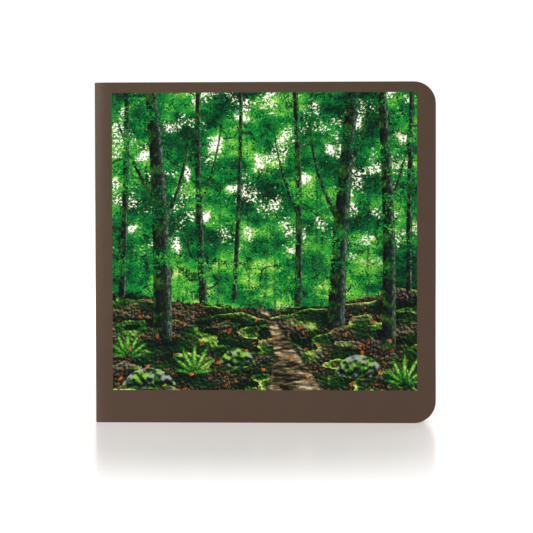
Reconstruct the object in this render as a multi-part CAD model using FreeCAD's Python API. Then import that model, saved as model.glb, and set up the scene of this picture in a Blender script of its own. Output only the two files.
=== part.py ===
# Square board book that stands on its tail edge: thick card leaves between two flush board covers.
#
# X runs from the spine to the fore edge, Y from the front cover to the back cover, and Z from the
# tail to the head. The origin is under the middle of the book, on the surface that it stands on.
# Each opening of the book is one card folded in half, and the cards are glued back to back, so a
# leaf is two cards thick. Seen from the head, the folds are a row of rounds behind the spine.
import FreeCAD, Part
import math
import os

# Outline, which one die cuts through covers and leaves alike
width = 200.0
height = 200.0
fore_corner_radius = 13.0
spine_corner_radius = 0.8

# Covers: they roll off towards the spine, and hinge at a round score in its edge
cover_thickness = 2.2
cover_clearance = 0.15
rim_round = 0.25
roll_width = 7.6
roll_depth = 0.9
roll_round = 0.6
score_radius = 0.3

# Leaves and the folds that join them
leaf_count = 9
card_thickness = 0.95
page_gap = 0.2
fold_bulge = 0.55

# Spine strip, and the hollow that the folds leave behind it
spine_thickness = 1.0
spine_hollow = 0.5

# Picture on the front cover: its margins, and how deep it is let in
margin_spine = 10.2
margin_fore = 11.0
margin_head = 6.2
margin_tail = 19.2
print_depth = 0.12

# Small shapes in the picture
sky_spot_count = 30
sky_spot_length = 9.0
fallen_leaf_count = 30
fallen_leaf_length = 4.5
frond_length = 19.0
frond_base_share = 0.08
fronds_per_fern = 7

# Worked out from the sizes above
leaf_thickness = 2 * card_thickness
leaf_pitch = leaf_thickness + page_gap
block_thickness = leaf_count * leaf_pitch - page_gap
thickness = block_thickness + 2 * (cover_clearance + cover_thickness)
spine_x = -width / 2
fore_x = width / 2
front_y = -thickness / 2
cover_inner_y = front_y + cover_thickness
block_front_y = cover_inner_y + cover_clearance
strip_inner_x = spine_x + spine_thickness
fold_x = strip_inner_x + spine_hollow + fold_bulge
picture_left = spine_x + margin_spine
picture_width = width - margin_spine - margin_fore
picture_height = height - margin_head - margin_tail

golden_share = (math.sqrt(5) - 1) / 2


def point(x, y, z=0.0):
    return FreeCAD.Vector(x, y, z)


def line(start, end):
    return Part.makeLine(start, end)


def arc(start, middle, end):
    return Part.Arc(start, middle, end).toShape()


def face_of(edges):
    return Part.Face(Part.Wire(edges))


def rounded_face(corners):
    """A flat face with straight sides, from (corner, radius) pairs in order."""
    rounds = []
    for i, (corner, radius) in enumerate(corners):
        arriving = (corner - corners[i - 1][0]).normalize()
        leaving = (corners[(i + 1) % len(corners)][0] - corner).normalize()
        middle = corner + (leaving - arriving) * radius * (1 - math.sqrt(0.5))
        rounds.append((corner - arriving * radius, middle, corner + leaving * radius))
    edges = []
    for i, (start, middle, end) in enumerate(rounds):
        edges.append(line(rounds[i - 1][2], start))
        edges.append(arc(start, middle, end))
    return face_of(edges)


def die_cut(first_y, last_y, spine_side_x=spine_x):
    """Everything inside the book's outline, from one depth to another."""
    outline = rounded_face(
        [
            (point(spine_side_x, first_y, 0), spine_corner_radius),
            (point(fore_x, first_y, 0), fore_corner_radius),
            (point(fore_x, first_y, height), fore_corner_radius),
            (point(spine_side_x, first_y, height), spine_corner_radius),
        ]
    )
    return outline.extrude(point(0, last_y - first_y, 0))


def score(y, side):
    """A quarter of the round score about a hinge line, on the cover's side (-1) or the spine's (1)."""
    lean = score_radius * math.sqrt(0.5)
    ends = point(spine_x + score_radius, y), point(spine_x, y + side * score_radius)
    return arc(ends[0], point(spine_x + lean, y + side * lean), ends[1])


# Covers


def cover_section():
    """The front cover seen from the head, its outer face rolling back towards the spine."""
    roll_radius = (roll_width**2 + roll_depth**2) / (2 * roll_depth)
    half_turn = math.asin(roll_width / roll_radius) / 2
    roll_start = point(spine_x + roll_width, front_y)
    roll_middle = point(
        roll_start.x - roll_radius * math.sin(half_turn),
        front_y + roll_radius * (1 - math.cos(half_turn)),
    )
    roll_end = point(spine_x, front_y + roll_depth)
    return face_of(
        [
            line(roll_start, point(fore_x, front_y)),
            line(point(fore_x, front_y), point(fore_x, cover_inner_y)),
            line(point(fore_x, cover_inner_y), point(spine_x + score_radius, cover_inner_y)),
            score(cover_inner_y, -1),
            line(point(spine_x, cover_inner_y - score_radius), roll_end),
            arc(roll_end, roll_middle, roll_start),
        ]
    )


def is_roll_edge(edge):
    """True for the line where the rolled face ends at the spine."""
    middle = edge.CenterOfMass
    return abs(middle.x - spine_x) < 1e-6 and abs(middle.y - front_y - roll_depth) < 1e-6


def is_rim(board, edge):
    """True where the outer face meets a face that the die cut."""
    middle = edge.valueAt((edge.FirstParameter + edge.LastParameter) / 2)
    slopes = []
    for face in board.ancestorsOfType(edge, Part.Face):
        slopes.append(abs(face.normalAt(*face.Surface.parameter(middle)).y))
    return middle.y < front_y + roll_depth + roll_round and max(slopes) > 0.3 and min(slopes) < 1e-6


def cover_board():
    """The front cover's board. Its outer rim is eased while the spine's corners are still square."""
    slab = cover_section().extrude(point(0, 0, height))
    slab = slab.makeFillet(roll_round, [e for e in slab.Edges if is_roll_edge(e)])
    board = slab.common(die_cut(front_y, cover_inner_y, spine_x - fore_corner_radius))
    board = board.makeFillet(rim_round, [e for e in board.Edges if is_rim(board, e)])
    return board.common(die_cut(front_y, cover_inner_y))


def front_cover():
    """The board with a shallow bed for the printed picture."""
    return cover_board().cut(picture_panel().extrude(point(0, print_depth, 0)))


def back_cover():
    return cover_board().mirror(point(0, 0), point(0, 1))


# Spine


def spine():
    """The strip between the covers, scored along both hinge lines."""
    y = cover_inner_y
    section = face_of(
        [
            score(y, 1),
            line(point(spine_x + score_radius, y), point(strip_inner_x, y)),
            line(point(strip_inner_x, y), point(strip_inner_x, -y)),
            line(point(strip_inner_x, -y), point(spine_x + score_radius, -y)),
            score(-y, -1),
            line(point(spine_x, -y - score_radius), point(spine_x, y + score_radius)),
        ]
    )
    return section.extrude(point(0, 0, height)).common(die_cut(front_y, -front_y))


# Leaves


def gap_middles():
    """How deep the middle of each gap between two leaves lies."""
    first = block_front_y + leaf_thickness + page_gap / 2
    return [first + i * leaf_pitch for i in range(leaf_count - 1)]


def fold_back(middle_y):
    """The round back of the fold whose two halves face each other across a gap."""
    return arc(
        point(fold_x, middle_y - leaf_pitch / 2),
        point(fold_x - fold_bulge, middle_y),
        point(fold_x, middle_y + leaf_pitch / 2),
    )


def page_block():
    """All the leaves in one piece, joined by their folds. The first and the last card reach on to
    the spine strip, where they turn on to the covers' insides, and close the hollow."""
    first_y, last_y = block_front_y, -block_front_y
    first_fold_y, last_fold_y = first_y + card_thickness, last_y - card_thickness
    section = face_of(
        [
            line(point(fore_x, last_y), point(fore_x, first_y)),
            line(point(fore_x, first_y), point(strip_inner_x, first_y)),
            line(point(strip_inner_x, first_y), point(strip_inner_x, first_fold_y)),
            line(point(strip_inner_x, first_fold_y), point(fold_x, first_fold_y)),
            *[fold_back(y) for y in gap_middles()],
            line(point(fold_x, last_fold_y), point(strip_inner_x, last_fold_y)),
            line(point(strip_inner_x, last_fold_y), point(strip_inner_x, last_y)),
            line(point(strip_inner_x, last_y), point(fore_x, last_y)),
        ]
    )
    block = section.extrude(point(0, 0, height)).common(die_cut(first_y, last_y))
    gap_x = fold_x - fold_bulge + card_thickness
    gaps = [
        Part.makeBox(fore_x - gap_x, page_gap, height, point(gap_x, y - page_gap / 2, 0))
        for y in gap_middles()
    ]
    return block.cut(Part.makeCompound(gaps))


# Picture: a wood with ferns and a footpath, in flat fields laid edge to edge in the bed.
# Places are shares of the picture's width and height, from its lower corner beside the spine.


def spot(across, up):
    return point(picture_left + across * picture_width, front_y, margin_tail + up * picture_height)


def picture_panel():
    corners = [spot(0, 0), spot(1, 0), spot(1, 1), spot(0, 1), spot(0, 0)]
    return Part.Face(Part.makePolygon(corners))


def arc_through(start, middle, end):
    return arc(spot(*start), spot(*middle), spot(*end))


def stem(foot, top, bow, foot_width, top_width):
    """A tapering stem from foot to top, bowed sideways at half its height."""
    middle = (foot[0] + top[0]) / 2 + bow, (foot[1] + top[1]) / 2
    stations = [
        (foot, foot_width / 2),
        (middle, (foot_width + top_width) / 4),
        (top, top_width / 2),
    ]
    left = [spot(across - half, up) for (across, up), half in stations]
    right = [spot(across + half, up) for (across, up), half in stations]
    return face_of([arc(*left), line(left[2], right[2]), arc(*right[::-1]), line(right[0], left[0])])


def laid(flat, turn, place):
    """A wire drawn about the origin, turned by so many degrees and laid on the cover at a place."""
    flat.rotate(point(0, 0), point(0, 0, 1), turn)
    flat.rotate(point(0, 0), point(1, 0), 90)
    flat.translate(place)
    return Part.Face(flat)


def mound(middle, half_length, rise, sag):
    """A low hump that rises over the line between its ends and sags a little under it."""
    across, up = middle
    left, right = (across - half_length, up), (across + half_length, up)
    upper = arc_through(left, (across, up + rise), right)
    return face_of([upper, arc_through(right, (across, up - sag), left)])


def kite(middle, length, breadth, turn):
    """Four straight sides, the widest part at two fifths of the length."""
    widest = -length / 10
    corners = [point(-length / 2, 0), point(widest, breadth / 2), point(length / 2, 0)]
    corners += [point(widest, -breadth / 2), corners[0]]
    return laid(Part.makePolygon(corners), turn, middle)


def frond(base, length, turn):
    """A pointed frond between two arcs, a short way out from the base of its fern."""
    near_end, tip = point(length * frond_base_share, 0), point(length, 0)
    middle, side = (near_end + tip) / 2, point(0, length / 12)
    outline = Part.Wire([arc(near_end, middle + side, tip), arc(tip, middle - side, near_end)])
    return laid(outline, turn, base)


def fern(base, length):
    """Fronds fanned out over a half turn, the outer ones shorter."""
    fronds = []
    for i in range(fronds_per_fern):
        turn = 180 * (i + 0.5) / fronds_per_fern
        fronds.append(frond(base, length * (0.6 + 0.4 * math.sin(math.radians(turn))), turn))
    return fronds


def scattered(count, start):
    """Pairs of shares spread evenly over a unit square, by the golden share."""
    return [((start + i * golden_share) % 1, (i + 0.5) / count) for i in range(count)]


def trunks():
    trees = [
        stem((0.165, 0.160), (0.125, 1.05), 0.012, 0.066, 0.038),
        stem((0.735, 0.200), (0.800, 1.05), -0.010, 0.060, 0.034),
        stem((0.905, 0.130), (0.880, 1.05), 0.014, 0.048, 0.030),
        stem((0.030, 0.300), (0.050, 1.05), 0.004, 0.024, 0.016),
        stem((0.300, 0.290), (0.285, 1.05), -0.008, 0.028, 0.016),
        stem((0.400, 0.300), (0.425, 1.05), 0.006, 0.018, 0.011),
        stem((0.610, 0.280), (0.600, 1.05), 0.008, 0.026, 0.016),
        stem((0.975, 0.310), (0.985, 1.05), -0.004, 0.022, 0.014),
    ]
    boughs = [
        stem((0.150, 0.52), (0.250, 0.85), 0.020, 0.020, 0.006),
        stem((0.140, 0.64), (0.015, 0.92), -0.012, 0.016, 0.006),
        stem((0.755, 0.55), (0.650, 0.88), -0.020, 0.020, 0.006),
        stem((0.780, 0.74), (0.845, 0.97), 0.010, 0.012, 0.005),
        stem((0.893, 0.58), (0.975, 0.90), 0.016, 0.014, 0.005),
        stem((0.290, 0.62), (0.365, 0.93), 0.012, 0.011, 0.004),
        stem((0.605, 0.60), (0.530, 0.90), -0.012, 0.011, 0.004),
    ]
    return trees + boughs


def far_trunks():
    feet = [0.215, 0.245, 0.345, 0.450, 0.500, 0.535, 0.665, 0.690, 0.835]
    return [
        stem((across, 0.26), (across + 0.012 * math.cos(3 * i), 0.74), 0.003, 0.010, 0.005)
        for i, across in enumerate(feet)
    ]


def sky_spots():
    spots = []
    for i, (across, up) in enumerate(scattered(sky_spot_count, 0.594)):
        length = sky_spot_length * (0.5 + 0.5 * abs(math.sin(2.3 * i)))
        spots.append(kite(spot(across, 0.46 + 0.56 * up), length, length / 2, 97 * i))
    return spots


def fallen_leaves():
    leaves = []
    for i, (across, up) in enumerate(scattered(fallen_leaf_count, 0.17)):
        length = fallen_leaf_length * (0.6 + 0.4 * abs(math.sin(1.7 * i)))
        leaves.append(kite(spot(across, 0.01 + 0.24 * up), length, length / 2, 73 * i))
    return leaves


def ferns():
    clumps = [(0.270, 0.055, 1.0), (0.050, 0.110, 0.9), (0.960, 0.020, 1.0)]
    fronds = []
    for across, up, size in clumps:
        fronds += fern(spot(across, up), frond_length * size)
    return fronds


def stones():
    return [
        mound((0.410, 0.090), 0.060, 0.050, 0.012),
        mound((0.810, 0.055), 0.080, 0.065, 0.015),
        mound((0.120, 0.015), 0.090, 0.060, 0.010),
    ]


def path():
    """A footpath that bends and narrows from the picture's foot to the glade."""
    near_side = arc_through((0.500, -0.02), (0.530, 0.14), (0.465, 0.300))
    far_side = arc_through((0.480, 0.300), (0.575, 0.17), (0.700, -0.02))
    glade_end = line(spot(0.465, 0.300), spot(0.480, 0.300))
    return [face_of([near_side, glade_end, far_side, line(spot(0.700, -0.02), spot(0.500, -0.02))])]


def ground():
    """Everything below a hollow line from side to side."""
    ridge = [
        arc_through((0, 0.330), (0.25, 0.292), (0.50, 0.275)),
        arc_through((0.50, 0.275), (0.78, 0.298), (1, 0.350)),
    ]
    sides = Part.makePolygon([spot(1, 0.350), spot(1, 0), spot(0, 0), spot(0, 0.330)])
    return [face_of(ridge + sides.Edges)]


def picture_fields():
    """The fields by name, from the one in front to the one behind them all."""
    return {
        "picture_fallen_leaves": fallen_leaves(),
        "picture_ferns": ferns(),
        "picture_stones": stones(),
        "picture_trunks": trunks(),
        "picture_far_trunks": far_trunks(),
        "picture_path": path(),
        "picture_ground": ground(),
        "picture_sky": sky_spots(),
        "picture_glade": [mound((0.47, 0.30), 0.22, 0.13, 0.05)],
        "picture_foliage": [picture_panel()],
    }


def merged(faces):
    """The same flat faces, with those that meet along an edge made into one."""
    return Part.makeShell(faces).removeSplitter().Faces if len(faces) > 1 else faces


def picture_pieces():
    """Each field as thin solids, less what lies in front of it."""
    uncovered = [picture_panel()]
    pieces = {}
    for name, shapes in picture_fields().items():
        shown = merged([face for part in uncovered for face in part.common(shapes).Faces])
        uncovered = [face for part in uncovered for face in part.cut(shapes).Faces]
        pieces[name] = Part.makeCompound([face.extrude(point(0, print_depth, 0)) for face in shown])
    return pieces


def write(name, shape):
    valid = all(s.isValid() and s.isClosed() for s in shape.Solids)
    volume = sum(s.Volume for s in shape.Solids)
    print(f"{name}: {len(shape.Solids)} solids, {volume:.1f} mm3, valid {valid}")
    shape.exportStep(os.path.join("parts", name + ".step"))


os.makedirs("parts", exist_ok=True)
write("front_cover", front_cover())
write("back_cover", back_cover())
write("spine", spine())
write("page_block", page_block())
for name, shape in picture_pieces().items():
    write(name, shape)
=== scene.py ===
# Looks of the square board book: brown laminated covers, layered card leaves and a woodland print,
# standing on a white floor.
import math

import bpy
import numpy as np
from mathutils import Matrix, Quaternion, Vector
from mathutils.bvhtree import BVHTree


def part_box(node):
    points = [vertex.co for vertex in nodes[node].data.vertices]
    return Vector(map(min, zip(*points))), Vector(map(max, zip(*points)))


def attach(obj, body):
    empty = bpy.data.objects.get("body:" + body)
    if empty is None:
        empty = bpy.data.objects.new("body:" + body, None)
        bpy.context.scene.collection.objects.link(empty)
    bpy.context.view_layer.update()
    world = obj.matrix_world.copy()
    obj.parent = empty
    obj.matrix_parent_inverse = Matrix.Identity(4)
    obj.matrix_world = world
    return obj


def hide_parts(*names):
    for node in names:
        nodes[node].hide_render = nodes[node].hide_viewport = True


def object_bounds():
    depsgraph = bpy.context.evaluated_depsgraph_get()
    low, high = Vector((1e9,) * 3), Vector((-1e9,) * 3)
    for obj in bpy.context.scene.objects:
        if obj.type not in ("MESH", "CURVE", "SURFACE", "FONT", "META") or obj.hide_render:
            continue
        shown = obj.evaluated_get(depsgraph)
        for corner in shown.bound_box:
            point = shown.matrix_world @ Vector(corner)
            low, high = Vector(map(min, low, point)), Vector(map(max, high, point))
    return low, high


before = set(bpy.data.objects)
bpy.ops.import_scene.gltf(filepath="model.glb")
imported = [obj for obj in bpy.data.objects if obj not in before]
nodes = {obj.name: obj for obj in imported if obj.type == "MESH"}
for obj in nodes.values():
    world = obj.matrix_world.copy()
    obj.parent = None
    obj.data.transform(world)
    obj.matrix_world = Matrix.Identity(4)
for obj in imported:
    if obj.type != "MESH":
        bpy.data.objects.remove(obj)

cad_box = [list(corner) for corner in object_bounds()]
mm = 0.001

# View of the photograph
image_pixels = 533
focal_pixels = 2538.2
view_azimuth = math.radians(2.90)
view_elevation = math.radians(1.985)
view_roll = math.radians(-0.116)
view_distance = 1.5
aim_point = Vector((0.0003, 0.0, 0.0915))

# Leaves, as the solid of the page block has them
leaf_count = 9
page_gap = 0.2 * mm

# Print
print_spacing = 0.85 * mm
widest_trunk = 9 * mm
print_fields = {
    name.removeprefix("picture_"): node for name, node in nodes.items() if name.startswith("picture_")
}


def ink(red, green, blue):
    """A colour given as it shows on paper, 0 to 255, as the linear one that a shader takes."""
    shares = [value / 255 for value in (red, green, blue)]
    return (*[s / 12.92 if s <= 0.04045 else ((s + 0.055) / 1.055) ** 2.4 for s in shares], 1.0)


# Finishes
laminate_brown = ink(79, 61, 48)
laminate_reflection = 0.15
print_reflection = 0.06
coated_white = ink(230, 226, 217)
coated_shade = ink(227, 223, 213)
fold_depth = 0.35 * mm

# Studio
floor_reach = 15.0
room_light = 0.30
lamps = {
    "key_lamp": ((-1.05, -0.50, 0.50), 0.5, 8.0),
    "strip_lamp": ((-0.65, -1.05, 0.30), 0.22, 2.6),
    "fill_lamp": ((1.5, -1.6, 0.9), 1.6, 2.0),
    "top_lamp": ((0.0, -0.35, 0.75), 0.6, 2.4),
    "back_lamp": ((0.6, 1.5, 1.0), 1.0, 16.0),
}


# Node trees


class Nodes:
    """Adds nodes to a tree. An input given as a socket is linked, and any other is set."""

    def __init__(self, tree):
        self.tree = tree

    def feed(self, socket, value):
        if isinstance(value, bpy.types.NodeSocket):
            self.tree.links.new(value, socket)
        else:
            socket.default_value = value

    def add(self, kind, inputs, **settings):
        made = self.tree.nodes.new(kind)
        for name, value in settings.items():
            setattr(made, name, value)
        for key, value in inputs.items():
            self.feed(made.inputs[key], value)
        return made

    def place(self):
        """Where the surface is, in the book's own frame."""
        return self.add("ShaderNodeTexCoord", {}).outputs["Object"]

    def parts(self, vector):
        return self.add("ShaderNodeSeparateXYZ", {"Vector": vector}).outputs

    def vector(self, x, y, z):
        return self.add("ShaderNodeCombineXYZ", {"X": x, "Y": y, "Z": z}).outputs["Vector"]

    def attribute(self, name):
        return self.add("ShaderNodeAttribute", {}, attribute_name=name).outputs["Fac"]

    def math(self, operation, *values):
        return self.add("ShaderNodeMath", dict(enumerate(values)), operation=operation).outputs[0]

    def vectors(self, operation, *values):
        return self.add("ShaderNodeVectorMath", dict(enumerate(values)), operation=operation).outputs[0]

    def noise(self, place, size, detail=2.0, roughness=0.5):
        inputs = {"Vector": place, "Scale": 1 / size, "Detail": detail, "Roughness": roughness}
        return self.add("ShaderNodeTexNoise", inputs).outputs["Fac"]

    def between(self, value, low, high, start=0.0, end=1.0):
        """Start where the value is low, end where it is high, and smooth in between."""
        inputs = {"Value": value, "From Min": low, "From Max": high, "To Min": start, "To Max": end}
        return self.add("ShaderNodeMapRange", inputs, interpolation_type="SMOOTHSTEP").outputs[0]

    def mix(self, share, under, over, blend="MIX"):
        inputs = {0: share, 6: under, 7: over}
        return self.add("ShaderNodeMix", inputs, data_type="RGBA", blend_type=blend).outputs[2]

    def colours(self, value, *stops):
        """A colour for a value, between stops given in order as (value, colour) pairs."""
        made = self.add("ShaderNodeValToRGB", {"Fac": value})
        elements = made.color_ramp.elements
        for i, (place, colour) in enumerate(stops):
            element = elements[i] if i < 2 else elements.new(place)
            element.position = place
            element.color = colour
        return made.outputs["Color"]

    def bump(self, height, distance, strength=1.0):
        inputs = {"Height": height, "Distance": distance, "Strength": strength}
        return self.add("ShaderNodeBump", inputs).outputs["Normal"]

    def use(self, group, **inputs):
        """The outputs of a node group. Its inputs are named in small letters, with low lines."""
        made = self.tree.nodes.new("ShaderNodeGroup")
        made.node_tree = group
        for name, value in inputs.items():
            self.feed(made.inputs[name.replace("_", " ").title()], value)
        return made.outputs


def node_group(name, inputs, outputs, fill):
    """A group with those sockets. fill takes its nodes and inputs, and returns its outputs by name."""
    tree = bpy.data.node_groups.new(name, "ShaderNodeTree")
    for socket_name, kind, default in inputs:
        socket = tree.interface.new_socket(socket_name, in_out="INPUT", socket_type="NodeSocket" + kind)
        if default is not None:
            socket.default_value = default
    for socket_name in outputs:
        tree.interface.new_socket(socket_name, in_out="OUTPUT", socket_type="NodeSocketFloat")
    n = Nodes(tree)
    given = tree.nodes.new("NodeGroupInput").outputs
    last = tree.nodes.new("NodeGroupOutput")
    for socket_name, value in fill(n, given).items():
        n.feed(last.inputs[socket_name], value)
    return tree


def leaf_layer(n, given):
    """One pointed leaf in each cell of a random net, turned its own way, and none in some cells."""
    cells = n.vectors("DIVIDE", given["Place"], given["Cell"])
    cells = n.vectors("ADD", cells, given["Shift"])
    net = n.add("ShaderNodeTexVoronoi", {"Vector": cells, "Scale": 1.0}, voronoi_dimensions="2D")
    own = n.add("ShaderNodeSeparateColor", {"Color": net.outputs["Color"]}).outputs
    from_middle = n.vectors("SUBTRACT", cells, net.outputs["Position"])
    turn = n.math("MULTIPLY", own["Red"], 2 * math.pi)
    inputs = {"Vector": from_middle, "Angle": turn}
    turned = n.parts(n.add("ShaderNodeVectorRotate", inputs, rotation_type="Z_AXIS").outputs[0])
    along = n.math("DIVIDE", turned["X"], 0.60)
    across = n.math("DIVIDE", n.math("ABSOLUTE", turned["Y"]), given["Breadth"])
    outline = n.math("SUBTRACT", n.math("SUBTRACT", 1.0, n.math("MULTIPLY", along, along)), across)
    grown = n.math("LESS_THAN", own["Green"], given["Share"])
    return {
        "Leaf": n.math("MULTIPLY", grown, n.between(outline, 0.0, 0.3)),
        "Own Shade": own["Blue"],
        "Across": across,
    }


def relief(n, given):
    """How much of the light uneven ground catches: over a half where it faces the light."""
    here = n.vectors("DIVIDE", given["Place"], given["Size"])
    there = n.vectors("ADD", here, given["Lean"])
    detail = given["Detail"]
    rise = n.math("SUBTRACT", n.noise(here, 1.0, detail), n.noise(there, 1.0, detail))
    return {"Light": n.math("MULTIPLY_ADD", rise, given["Strength"], 0.5)}


def wavering_edge(n, given):
    """A mask that fills a shape, from the distance inside its outline, with a ragged edge."""
    rough = n.noise(n.vectors("DIVIDE", given["Place"], given["Size"]), 1.0, 3.0, 0.6)
    strayed = n.math("MULTIPLY", n.math("SUBTRACT", rough, 0.5), given["Reach"])
    distance = n.math("ADD", given["Distance"], strayed)
    softness = n.math("MULTIPLY", given["Softness"], -1.0)
    return {"Mask": n.between(distance, softness, given["Softness"])}


def board_faces(n, given):
    """Which face of a board this is: laminated outside, cut edge or inside. The film follows the
    round scores along the hinges too."""
    place, normal = n.parts(given["Place"]), n.parts(given["Normal"])
    outward = n.math("MULTIPLY", n.math("SIGN", place["Y"]), normal["Y"])
    in_fold = n.math("LESS_THAN", place["X"], given["Fold End"])
    outside = n.math("MAXIMUM", n.between(outward, 0.35, 0.55), in_fold)
    inside = n.math("MULTIPLY", n.between(outward, -0.6, -0.8), n.math("SUBTRACT", 1.0, outside))
    return {"Outside": outside, "Inside": inside}


groups = {
    "leaf_layer": node_group(
        "Leaf layer",
        [
            ("Place", "Vector", None),
            ("Cell", "Float", 0.002),
            ("Shift", "Vector", None),
            ("Breadth", "Float", 0.3),
            ("Share", "Float", 0.8),
        ],
        ["Leaf", "Own Shade", "Across"],
        leaf_layer,
    ),
    "relief": node_group(
        "Relief",
        [
            ("Place", "Vector", None),
            ("Size", "Float", 0.01),
            ("Lean", "Vector", None),
            ("Strength", "Float", 3.0),
            ("Detail", "Float", 3.0),
        ],
        ["Light"],
        relief,
    ),
    "wavering_edge": node_group(
        "Wavering edge",
        [
            ("Place", "Vector", None),
            ("Distance", "Float", 0.0),
            ("Size", "Float", 0.002),
            ("Reach", "Float", 0.001),
            ("Softness", "Float", 0.0003),
        ],
        ["Mask"],
        wavering_edge,
    ),
    "board_faces": node_group(
        "Board faces",
        [("Place", "Vector", None), ("Normal", "Vector", None), ("Fold End", "Float", -0.1)],
        ["Outside", "Inside"],
        board_faces,
    ),
}


def new_material(name):
    """A material with its nodes cleared, and its tree."""
    material = bpy.data.materials.new(name)
    material.use_nodes = True
    material.node_tree.nodes.clear()
    return material, Nodes(material.node_tree)


def surface(n, shader):
    n.add("ShaderNodeOutputMaterial", {"Surface": shader})


def principled(n, **inputs):
    named = {}
    for name, value in inputs.items():
        named[name.replace("_", " ").title().replace("Ior", "IOR")] = value
    return n.add("ShaderNodeBsdfPrincipled", named).outputs["BSDF"]


# Covers and leaves


def cover_material():
    """Brown film outside, cream board where it is cut, and coated white inside."""
    material, n = new_material("laminated_board")
    place = n.place()
    normal = n.add("ShaderNodeTexCoord", {}).outputs["Normal"]
    fold_end = cad_box[0][0] + fold_depth
    faces = n.use(groups["board_faces"], place=place, normal=normal, fold_end=fold_end)
    mottle = n.noise(place, 14 * mm, 4.0, 0.6)
    grain = n.noise(place, 0.35 * mm, 2.0)
    brown = n.mix(n.between(mottle, 0.3, 0.7, 0.0, 0.04), laminate_brown, ink(120, 100, 86))
    brown = n.mix(n.between(grain, 0.3, 0.8, 0.0, 0.10), brown, ink(58, 46, 38))
    cut = cut_board(n, place)
    inside = n.mix(n.between(mottle, 0.3, 0.7), coated_white, coated_shade)
    colour = n.mix(faces["Inside"], cut, inside)
    colour = n.mix(faces["Outside"], colour, brown)
    roughness = n.math("MULTIPLY_ADD", faces["Outside"], -0.48, 0.80)
    roughness = n.math("ADD", roughness, n.between(grain, 0.2, 0.8, -0.04, 0.04))
    shader = principled(
        n,
        base_color=colour,
        roughness=roughness,
        specular_ior_level=laminate_reflection,
        normal=n.bump(grain, 0.02 * mm, 0.35),
    )
    surface(n, shader)
    return material


def cut_board(n, place):
    """The cut edge of card: fine layers of fibre, with specks."""
    parts = n.parts(place)
    along, upward = [n.math("MULTIPLY", parts[axis], 0.05) for axis in ("X", "Z")]
    layers = n.vector(along, parts["Y"], upward)
    fibre = n.noise(layers, 0.12 * mm, 3.0, 0.7)
    speck = n.noise(place, 0.5 * mm, 2.0)
    cream = n.colours(fibre, (0.3, ink(216, 205, 184)), (0.7, ink(236, 229, 213)))
    return n.mix(n.between(speck, 0.62, 0.75, 0.0, 0.25), cream, ink(190, 175, 148))


def page_material():
    """White card: coated where the leaves open, and layered where they are cut."""
    material, n = new_material("page_card")
    place = n.place()
    normal = n.parts(n.add("ShaderNodeTexCoord", {}).outputs["Normal"])
    low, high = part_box("page_block")
    leaf_pitch = (high.y - low.y + page_gap) / leaf_count
    card_thickness = (leaf_pitch - page_gap) / 2
    from_first = n.math("SUBTRACT", n.parts(place)["Y"], low.y)
    within_leaf = n.math("MODULO", from_first, leaf_pitch)
    from_glue = n.math("ABSOLUTE", n.math("SUBTRACT", within_leaf, card_thickness))
    glue_line = n.between(from_glue, 0.03 * mm, 0.10 * mm, 1.0, 0.0)
    to_face = n.math("SUBTRACT", card_thickness, from_glue)
    # Darker band along each leaf face: partly the die-pressed rim of the card, partly painted shade
    # standing in for the gaps between the leaves.
    gap_shade_and_pressed_rim = n.between(to_face, 0.06 * mm, 0.28 * mm, 1.0, 0.0)
    cut = n.mix(n.math("MULTIPLY", glue_line, 0.30), cut_board(n, place), ink(150, 132, 104))
    cut = n.mix(n.math("MULTIPLY", gap_shade_and_pressed_rim, 0.65), cut, ink(140, 126, 104))
    mottle = n.noise(place, 18 * mm, 3.0)
    opened = n.mix(n.between(mottle, 0.3, 0.7), coated_white, coated_shade)
    on_face = n.between(n.math("ABSOLUTE", normal["Y"]), 0.5, 0.7)
    grain = n.noise(place, 0.3 * mm, 2.0)
    shader = principled(
        n,
        base_color=n.mix(on_face, cut, opened),
        roughness=n.math("MULTIPLY_ADD", on_face, -0.35, 0.85),
        normal=n.bump(grain, 0.02 * mm, 0.4),
    )
    surface(n, shader)
    return material


# Woodland print. Each motif takes the colour under it and returns the colour with itself laid over.


def field_distances(points):
    """How far inside each field of the print the points lie, less than nothing outside it."""
    nearest = {}
    for name, node in print_fields.items():
        mesh = node.data
        corners = [vertex.co for vertex in mesh.vertices]
        tree = BVHTree.FromPolygons(corners, [face.vertices for face in mesh.polygons])
        nearest[name] = np.array([tree.find_nearest(point)[3] for point in points])
    distances = {}
    for name, own in nearest.items():
        others = [distance for other, distance in nearest.items() if other != name]
        distances[name] = np.min(others, axis=0) - own
    return distances


def across_runs(inside):
    """From -1 at the start of each row's stretches inside a shape to 1 at their end."""
    places = np.zeros(inside.shape)
    for row, line in enumerate(inside):
        ends = np.flatnonzero(np.diff(np.concatenate([[0], line, [0]])))
        for start, end in zip(ends[::2], ends[1::2]):
            places[row, start:end] = np.linspace(-1, 1, end - start)
    return places


def rise_above_foot(inside):
    """How far each point of a shape lies above where the shape starts under it."""
    rise = np.zeros(inside.shape)
    for row in range(1, len(inside)):
        rise[row] = (rise[row - 1] + print_spacing) * inside[row]
    return rise


def depth_below_ridge(open_ground, up):
    """How far each point lies below the ground's upper edge, drawn on behind the trunks."""
    tops = np.where(open_ground, up[:, None], up[0]).max(axis=0)
    reach = round(widest_trunk / print_spacing)
    ridge = [tops[max(0, i - reach):i + reach + 1].max() for i in range(len(tops))]
    return np.array(ridge) - up[:, None]


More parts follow.
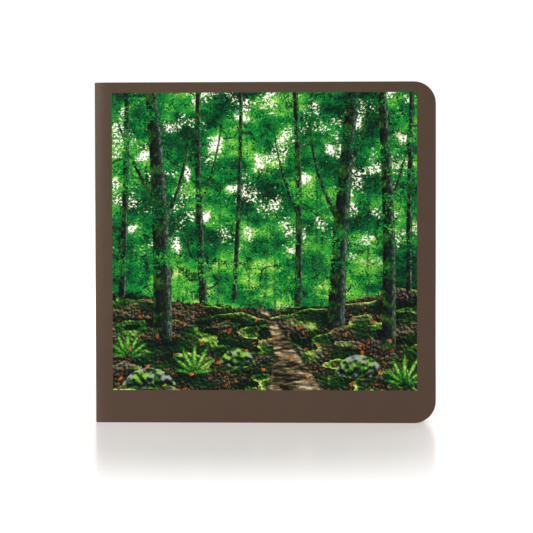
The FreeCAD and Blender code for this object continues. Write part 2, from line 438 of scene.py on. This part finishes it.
def print_sheet():
    """The print as a thin closed sheet with a fine grid in front, and how deep in each field it is."""
    boxes = [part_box(node.name) for node in print_fields.values()]
    low = Vector([min(box[0][i] for box in boxes) for i in range(3)])
    high = Vector([max(box[1][i] for box in boxes) for i in range(3)])
    across = np.linspace(low.x, high.x, round((high.x - low.x) / print_spacing) + 1)
    up = np.linspace(low.z, high.z, round((high.z - low.z) / print_spacing) + 1)
    columns, rows = len(across), len(up)
    front = [(x, low.y, z) for z in up for x in across]
    number = np.arange(columns * rows).reshape(rows, columns)
    rim = [*number[0, :-1], *number[:-1, -1], *number[-1, :0:-1], *number[:0:-1, 0]]
    back = [(front[i][0], high.y, front[i][2]) for i in rim]
    faces = np.stack([number[:-1, :-1], number[:-1, 1:], number[1:, 1:], number[1:, :-1]], -1)
    faces = faces.reshape(-1, 4).tolist()
    first = len(front)
    for i, corner in enumerate(rim):
        following = (i + 1) % len(rim)
        faces.append([corner, first + i, first + following, rim[following]])
    faces.append([first + i for i in reversed(range(len(rim)))])
    mesh = bpy.data.meshes.new("picture_print")
    mesh.from_pydata(front + back, [], faces)
    layout = field_distances(front)
    trunk = (layout["trunks"] > 0).reshape(rows, columns)
    stone = (layout["stones"] > 0).reshape(rows, columns)
    layout["trunk_side"] = across_runs(trunk).ravel()
    layout["trunk_foot"] = rise_above_foot(trunk).ravel()
    layout["stone_rise"] = across_runs(stone.T).T.ravel()
    open_ground = (layout["ground"] > 0).reshape(rows, columns)
    layout["below_ridge"] = depth_below_ridge(open_ground, up).ravel()
    for name, values in layout.items():
        attribute = mesh.attributes.new(name, "FLOAT", "POINT")
        attribute.data.foreach_set("value", np.append(values, values[rim]).astype(np.float32))
    sheet = bpy.data.objects.new("picture_print", mesh)
    bpy.context.scene.collection.objects.link(sheet)
    return sheet


def sunlight(n, place):
    """Broad dapples of light, stronger round the glade and the gaps to the sky."""
    parts = n.parts(place)
    drifts = n.vector(n.math("MULTIPLY", parts["X"], 0.7), parts["Y"], 0.0)
    broad = n.noise(drifts, 24 * mm, 3.0, 0.55)
    glade_glow = n.between(n.attribute("glade"), -38 * mm, 2 * mm, 0.0, 0.28)
    sky_glow = n.between(n.attribute("sky"), -8 * mm, 1 * mm, 0.0, 0.30)
    glow = n.math("ADD", glade_glow, n.math("ADD", sky_glow, small_gaps(n, place, 0.18)))
    return n.math("ADD", n.between(broad, 0.34, 0.68, -0.18, 0.60), glow)


def small_gaps(n, place, most):
    """Where the leaves thin out and small gaps cluster, up to the most given."""
    return n.between(n.noise(place, 20 * mm, 2.0), 0.48, 0.66, 0.0, most)


def far_wood(n, place, light):
    """Blurred trees far off, hazy and bright towards the glade."""
    clumps = n.noise(place, 6 * mm, 3.0, 0.55)
    tone = n.math("MULTIPLY_ADD", clumps, 0.70, n.math("MULTIPLY_ADD", light, 0.55, 0.05))
    return n.colours(
        tone,
        (0.22, ink(2, 30, 18)),
        (0.44, ink(6, 90, 42)),
        (0.61, ink(28, 146, 54)),
        (0.79, ink(112, 194, 62)),
        (0.96, ink(222, 236, 160)),
    )


def motif(n, place, name, waver, reach, softness, spread=0.0):
    """Where a field of the print shows, its edge straying by the waver's size and reach."""
    distance = n.math("ADD", n.attribute(name), spread)
    return n.use(
        groups["wavering_edge"],
        place=place,
        distance=distance,
        size=waver,
        reach=reach,
        softness=softness,
    )["Mask"]


def lit(n, place, size, lean, strength, detail=3.0):
    return n.use(
        groups["relief"], place=place, size=size, lean=lean, strength=strength, detail=detail
    )["Light"]


def foliage(n, place, under, light, cell, shift, share, breadth, contrast, lift):
    """A layer of leaves in clumps, each leaf lighter or darker than the light on its clump."""
    parts = n.parts(place)
    drifts = n.vector(n.math("MULTIPLY", parts["X"], 0.5), parts["Y"], 0.0)
    clump = lit(n, drifts, size=3 * cell, lean=(0.25, 0.55, shift[0]), strength=2.6, detail=1.0)
    leaves = n.use(
        groups["leaf_layer"], place=place, cell=cell, shift=shift, breadth=breadth, share=share
    )
    tone = n.math("MULTIPLY_ADD", leaves["Own Shade"], 0.14, n.math("MULTIPLY", clump, contrast))
    tone = n.math("ADD", tone, n.math("MULTIPLY_ADD", light, 0.56, lift))
    tone = n.math("SUBTRACT", tone, n.math("MULTIPLY", leaves["Across"], 0.06))
    green = n.colours(
        tone,
        (0.20, ink(0, 26, 16)),
        (0.40, ink(4, 78, 36)),
        (0.58, ink(14, 128, 50)),
        (0.75, ink(62, 172, 50)),
        (0.90, ink(144, 206, 64)),
        (1.00, ink(216, 234, 140)),
    )
    return n.mix(leaves["Leaf"], under, green)


def twigs(n, place, under):
    """Thin dark branches, along the level lines of a slow noise."""
    for size, offset, thickness in ((30 * mm, 3.1, 0.016), (17 * mm, 8.4, 0.009)):
        moved = n.vectors("ADD", place, (offset, offset, 0.0))
        level = n.math("ABSOLUTE", n.math("SUBTRACT", n.noise(moved, size, 2.5, 0.45), 0.5))
        line = n.between(level, 0.5 * thickness, thickness, 0.9, 0.0)
        broken = n.between(n.noise(place, 14 * mm, 2.0), 0.44, 0.50)
        under = n.mix(n.math("MULTIPLY", line, broken), under, ink(8, 26, 24))
    return under


def far_trunks(n, place, under):
    mask = motif(n, place, "far_trunks", waver=3 * mm, reach=1.0 * mm, softness=0.4 * mm)
    haze = n.between(n.attribute("glade"), -40 * mm, 0.0, 0.0, 0.40)
    tone = n.mix(haze, ink(10, 38, 28), ink(84, 122, 64))
    return n.mix(n.math("MULTIPLY", mask, 0.9), under, tone)


def sky(n, place, under):
    """Gaps in the leaves: the drawn ones, and clusters of small ones. Burnt out in the middle."""
    gap = motif(n, place, "sky", waver=2.0 * mm, reach=7.0 * mm, softness=0.8 * mm, spread=0.9 * mm)
    cluster = small_gaps(n, place, 0.20)
    near_gap = n.between(n.attribute("sky"), -8 * mm, 0.0, 0.0, 0.07)
    speckle = n.math("ADD", n.noise(place, 1.6 * mm, 3.0, 0.6), n.math("ADD", cluster, near_gap))
    high = n.between(n.parts(place)["Y"], 80 * mm, 105 * mm)
    small = n.math("MULTIPLY", n.between(speckle, 0.64, 0.76), high)
    gap = n.math("MAXIMUM", gap, small)
    core = n.between(gap, 0.35, 0.9)
    return n.mix(gap, under, n.mix(core, ink(176, 212, 72), ink(250, 248, 236)))


def bark(n, place):
    """Dark bark with upright cracks, lit along one side and green with moss."""
    parts = n.parts(place)
    cracks = n.noise(n.vector(n.math("MULTIPLY", parts["X"], 3.0), parts["Y"], 0.0), 3.0 * mm, 5.0, 0.7)
    side = n.attribute("trunk_side")
    lit_side = n.between(side, 0.15, 0.85, 0.0, 0.22)
    dark_side = n.between(side, -0.9, -0.1, 0.16, 0.0)
    moss = n.math("ADD", n.noise(place, 8 * mm, 4.0, 0.6), n.math("MULTIPLY", side, -0.05))
    tone = n.colours(
        n.math("SUBTRACT", n.math("ADD", cracks, lit_side), dark_side),
        (0.30, ink(2, 6, 6)),
        (0.52, ink(12, 24, 20)),
        (0.70, ink(46, 64, 52)),
        (0.90, ink(138, 154, 130)),
    )
    green = n.mix(n.between(cracks, 0.35, 0.70), ink(6, 34, 14), ink(66, 128, 36))
    return n.mix(n.between(moss, 0.50, 0.64, 0.0, 0.8), tone, green)


def trunk_mask(n, place):
    return motif(n, place, "trunks", waver=2.0 * mm, reach=0.9 * mm, softness=0.25 * mm)


def trunks(n, place, under):
    return n.mix(trunk_mask(n, place), under, bark(n, place))


def near_trunks(n, place, under):
    """The trunks from the ridge down, in front of the ground and rooted in its moss."""
    low = n.between(n.attribute("below_ridge"), -14 * mm, -4 * mm)
    tufts = n.between(n.noise(place, 1.5 * mm, 3.0), 0.3, 0.7, 0.2 * mm, 5.0 * mm)
    rooted = n.between(n.math("SUBTRACT", n.attribute("trunk_foot"), tufts), -0.4 * mm, 0.4 * mm)
    mask = n.math("MULTIPLY", n.math("MULTIPLY", trunk_mask(n, place), low), rooted)
    return n.mix(mask, under, bark(n, place))


def mounds(n, place):
    """Overlapping mounds, broader near the foot of the print: 1 along their rims, 0 at their feet."""
    parts = n.parts(place)
    depth = n.math("MAXIMUM", n.attribute("below_ridge"), 0.0)
    nearness = n.math("SQRT", n.math("DIVIDE", depth, 7 * mm))
    wide = n.vector(n.math("MULTIPLY", parts["X"], 0.45), parts["Y"], 0.0)
    swell = n.math("MULTIPLY", n.noise(wide, 15 * mm, 2.0), 4.5)
    fringe = n.math("MULTIPLY", n.noise(place, 1.3 * mm, 3.0, 0.7), 0.35)
    steps = n.math("ADD", nearness, n.math("ADD", swell, fringe))
    return n.math("SUBTRACT", 1.0, n.math("FRACT", steps))


def ground(n, place, under):
    """Mossy mounds, lit along their rims where the sun gets through, and leaf litter between them."""
    parts = n.parts(place)
    flat = n.vector(n.math("MULTIPLY", parts["X"], 0.5), parts["Y"], 0.0)
    mound = mounds(n, place)
    rim = n.between(mound, 0.72, 0.98)
    sunny = n.between(n.noise(flat, 13 * mm, 3.0), 0.40, 0.62, 0.06, 0.50)
    tuft = lit(n, place, size=1.8 * mm, lean=(0.25, 0.45, 0.0), strength=1.8)
    tone = n.math("MULTIPLY_ADD", mound, 0.22, n.math("MULTIPLY", tuft, 0.44))
    tone = n.math("MULTIPLY_ADD", rim, sunny, tone)
    tone = n.math("MULTIPLY_ADD", sunny, 0.24, tone)
    tone = n.math("SUBTRACT", tone, n.between(n.attribute("trunks"), -6 * mm, 0.0, 0.0, 0.10))
    moss = n.colours(
        tone,
        (0.24, ink(2, 8, 6)),
        (0.42, ink(14, 38, 20)),
        (0.58, ink(36, 80, 26)),
        (0.76, ink(94, 146, 38)),
        (1.00, ink(210, 224, 112)),
    )
    bare = n.between(n.noise(flat, 10 * mm, 3.0), 0.48, 0.60)
    earth = n.colours(
        n.math("MULTIPLY_ADD", tuft, 0.7, n.math("MULTIPLY", mound, 0.3)),
        (0.25, ink(6, 8, 8)),
        (0.52, ink(46, 42, 32)),
        (0.85, ink(164, 144, 124)),
    )
    litter = n.use(
        groups["leaf_layer"],
        place=place,
        cell=1.5 * mm,
        shift=(41.0, 3.0, 0.0),
        breadth=0.34,
        share=n.math("MULTIPLY_ADD", bare, 0.36, 0.02),
    )
    russet = n.colours(
        litter["Own Shade"],
        (0.0, ink(40, 30, 18)),
        (0.6, ink(108, 66, 34)),
        (1.0, ink(196, 104, 48)),
    )
    floor = n.mix(n.math("MULTIPLY", bare, 0.65), moss, earth)
    floor = n.mix(n.math("MULTIPLY", litter["Leaf"], 0.80), floor, russet)
    rough = n.noise(place, 4 * mm, 3.0, 0.6)
    edge = n.math("MULTIPLY_ADD", n.math("SUBTRACT", rough, 0.5), 5 * mm, n.attribute("below_ridge"))
    return n.mix(n.between(edge, -0.5 * mm, 0.5 * mm), under, floor)


def path(n, place, under):
    """Trodden earth in dappled light, its ruts flattened by the view along them."""
    mask = motif(n, place, "path", waver=3 * mm, reach=4 * mm, softness=1.0 * mm)
    parts = n.parts(place)
    flat = n.vector(n.math("MULTIPLY", parts["X"], 0.4), parts["Y"], 0.0)
    rut = lit(n, flat, size=2.6 * mm, lean=(0.10, 0.40, 0.0), strength=1.5)
    dapple = n.between(n.noise(flat, 7 * mm, 3.0), 0.42, 0.62, -0.10, 0.30)
    soil = n.colours(
        n.math("ADD", rut, dapple),
        (0.25, ink(12, 14, 10)),
        (0.52, ink(58, 52, 36)),
        (0.78, ink(130, 112, 80)),
        (1.00, ink(206, 190, 150)),
    )
    return n.mix(mask, under, soil)


def stones(n, place, under):
    """Mossy stones, light on top and dark at the foot."""
    mask = motif(n, place, "stones", waver=3 * mm, reach=1.2 * mm, softness=0.3 * mm)
    rise = n.between(n.attribute("stone_rise"), -1.0, 1.0, -0.22, 0.20)
    face = n.math("ADD", lit(n, place, size=3.5 * mm, lean=(0.15, 0.5, 0.0), strength=2.0), rise)
    rock = n.colours(
        face,
        (0.20, ink(6, 10, 12)),
        (0.50, ink(52, 64, 58)),
        (0.85, ink(158, 168, 156)),
    )
    green = n.colours(
        face,
        (0.20, ink(4, 22, 8)),
        (0.50, ink(34, 86, 24)),
        (0.85, ink(150, 192, 62)),
    )
    mossy = n.between(n.noise(place, 6 * mm, 4.0), 0.42, 0.54, 0.0, 0.95)
    return n.mix(mask, under, n.mix(mossy, rock, green))


def ferns(n, place, under):
    """Feathery fronds, cut into leaflets almost to their ribs."""
    mask = motif(n, place, "ferns", waver=0.9 * mm, reach=4.2 * mm, softness=0.3 * mm, spread=-0.1 * mm)
    rib = n.between(n.attribute("ferns"), 0.1 * mm, 1.5 * mm, 0.0, 0.6)
    tone = n.math("ADD", rib, n.between(n.noise(place, 1.4 * mm, 3.0), 0.3, 0.7, 0.0, 0.5))
    green = n.colours(
        tone,
        (0.10, ink(8, 66, 20)),
        (0.50, ink(62, 142, 38)),
        (1.00, ink(186, 222, 96)),
    )
    return n.mix(mask, under, green)


def fallen_leaves(n, place, under):
    mask = motif(n, place, "fallen_leaves", waver=1.2 * mm, reach=0.7 * mm, softness=0.2 * mm)
    tone = n.colours(
        n.noise(place, 5 * mm, 2.0),
        (0.35, ink(120, 52, 20)),
        (0.65, ink(212, 122, 46)),
    )
    return n.mix(mask, under, tone)


def picture_material():
    material, n = new_material("woodland_print")
    parts = n.parts(n.place())
    place = n.vector(parts["X"], parts["Z"], 0.0)
    light = sunlight(n, place)
    hanging = n.between(n.noise(place, 15 * mm, 3.0), 0.44, 0.60, 0.0, 0.80)
    colour = far_wood(n, place, light)
    colour = far_trunks(n, place, colour)
    colour = foliage(
        n, place, colour, light,
        cell=1.5 * mm, shift=(3.0, 7.0, 0.0), share=0.80, breadth=0.36, contrast=0.46, lift=-0.04,
    )
    colour = twigs(n, place, colour)
    colour = sky(n, place, colour)
    colour = foliage(
        n, place, colour, light,
        cell=1.3 * mm, shift=(13.0, 1.0, 0.0), share=0.40, breadth=0.32, contrast=0.24, lift=0.17,
    )
    colour = trunks(n, place, colour)
    colour = foliage(
        n, place, colour, light,
        cell=2.1 * mm, shift=(5.0, 31.0, 0.0), share=hanging, breadth=0.30, contrast=0.30, lift=0.09,
    )
    colour = foliage(
        n, place, colour, light,
        cell=1.4 * mm, shift=(23.0, 11.0, 0.0), share=hanging, breadth=0.36, contrast=0.26, lift=0.20,
    )
    colour = ground(n, place, colour)
    colour = path(n, place, colour)
    colour = near_trunks(n, place, colour)
    colour = stones(n, place, colour)
    colour = ferns(n, place, colour)
    colour = fallen_leaves(n, place, colour)
    dots = n.noise(n.place(), 0.25 * mm, 1.0)
    shader = principled(
        n,
        base_color=colour,
        roughness=n.between(dots, 0.3, 0.7, 0.36, 0.44),
        specular_ior_level=print_reflection,
        normal=n.bump(dots, 0.02 * mm, 0.3),
    )
    surface(n, shader)
    return material


# Floor, light and camera


def seen_as_background(n):
    """1 where the surface is seen by the camera, or in gloss or glass, and 0 where it gives light."""
    rays = n.add("ShaderNodeLightPath", {}).outputs
    seen = n.math("MAXIMUM", rays["Is Camera Ray"], rays["Is Glossy Ray"])
    return n.math("MAXIMUM", seen, rays["Is Transmission Ray"])


def floor_material():
    """White, and a little glossy round the book. Near the book its glow is tinted warm, a painted warm
    bounce from the brown covers. It shows white away from the book's shadow.
    """
    material, n = new_material("white_floor")
    away = n.add("ShaderNodeVectorMath", {0: n.place()}, operation="LENGTH").outputs["Value"]
    white = n.add("ShaderNodeBsdfDiffuse", {"Color": (0.55, 0.55, 0.55, 1.0)}).outputs[0]
    strength = n.math("MULTIPLY", seen_as_background(n), n.between(away, 0.28, 0.60, 0.58, 1.0))
    # Painted warm bounce: near the book the floor's glow is warm, standing in for light thrown back by
    # the brown covers.
    painted_warm_bounce = n.mix(n.between(away, 0.20, 0.45), ink(255, 247, 243), ink(255, 255, 255))
    lift = n.add("ShaderNodeEmission", {"Color": painted_warm_bounce, "Strength": strength}).outputs[0]
    plain = n.add("ShaderNodeAddShader", {0: white, 1: lift}).outputs[0]
    gloss = n.add("ShaderNodeBsdfGlossy", {"Color": (1.0, 1.0, 1.0, 1.0), "Roughness": 0.20}).outputs[0]
    share = n.between(away, 0.15, 0.40, 0.40, 0.0)
    surface(n, n.add("ShaderNodeMixShader", {0: share, 1: plain, 2: gloss}).outputs[0])
    return material


def make_floor():
    signs = ((-1, -1), (1, -1), (1, 1), (-1, 1))
    corners = [(x * floor_reach, y * floor_reach, 0) for x, y in signs]
    mesh = bpy.data.meshes.new("floor")
    mesh.from_pydata(corners, [], [(0, 1, 2, 3)])
    floor = bpy.data.objects.new("floor", mesh)
    bpy.context.scene.collection.objects.link(floor)
    mesh.materials.append(floor_material())


def make_lamp(name, place, size, power):
    """A soft square lamp that faces the middle of the book."""
    lamp = bpy.data.objects.new(name, bpy.data.lights.new(name, "AREA"))
    lamp.data.size = size
    lamp.data.energy = power
    lamp.location = place
    towards = aim_point - Vector(place)
    lamp.rotation_mode = "QUATERNION"
    lamp.rotation_quaternion = towards.to_track_quat("-Z", "Y")
    bpy.context.scene.collection.objects.link(lamp)


def make_world():
    """Even light from all round, and plain white where the background is seen."""
    world = bpy.data.worlds.new("white_room")
    world.use_nodes = True
    world.node_tree.nodes.clear()
    n = Nodes(world.node_tree)
    strength = n.math("MULTIPLY_ADD", seen_as_background(n), 1.0 - room_light, room_light)
    background = n.add("ShaderNodeBackground", {"Color": (1, 1, 1, 1), "Strength": strength})
    n.add("ShaderNodeOutputWorld", {"Surface": background.outputs[0]})
    bpy.context.scene.world = world


def make_camera():
    camera = bpy.data.objects.new("camera", bpy.data.cameras.new("camera"))
    camera.data.lens = camera.data.sensor_width * focal_pixels / image_pixels
    back = Vector((
        math.sin(view_azimuth) * math.cos(view_elevation),
        -math.cos(view_azimuth) * math.cos(view_elevation),
        math.sin(view_elevation),
    ))
    camera.location = aim_point + view_distance * back
    camera.rotation_mode = "QUATERNION"
    level = (-back).to_track_quat("-Z", "Y")
    camera.rotation_quaternion = level @ Quaternion((0, 0, 1), view_roll)
    bpy.context.scene.collection.objects.link(camera)
    bpy.context.scene.camera = camera


def dress(node_name, material):
    """Gives a solid of the frame its finish."""
    for slot in nodes[node_name].material_slots:
        slot.material = material


board = cover_material()
for name in ("front_cover", "back_cover", "spine"):
    dress(name, board)
dress("page_block", page_material())

picture = print_sheet()
picture.data.materials.append(picture_material())
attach(picture, "front_cover")
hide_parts(*[node.name for node in print_fields.values()])

make_floor()
make_world()
for name, (place, size, power) in lamps.items():
    make_lamp(name, place, size, power)
make_camera()
bpy.context.scene.view_settings.view_transform = "Standard"
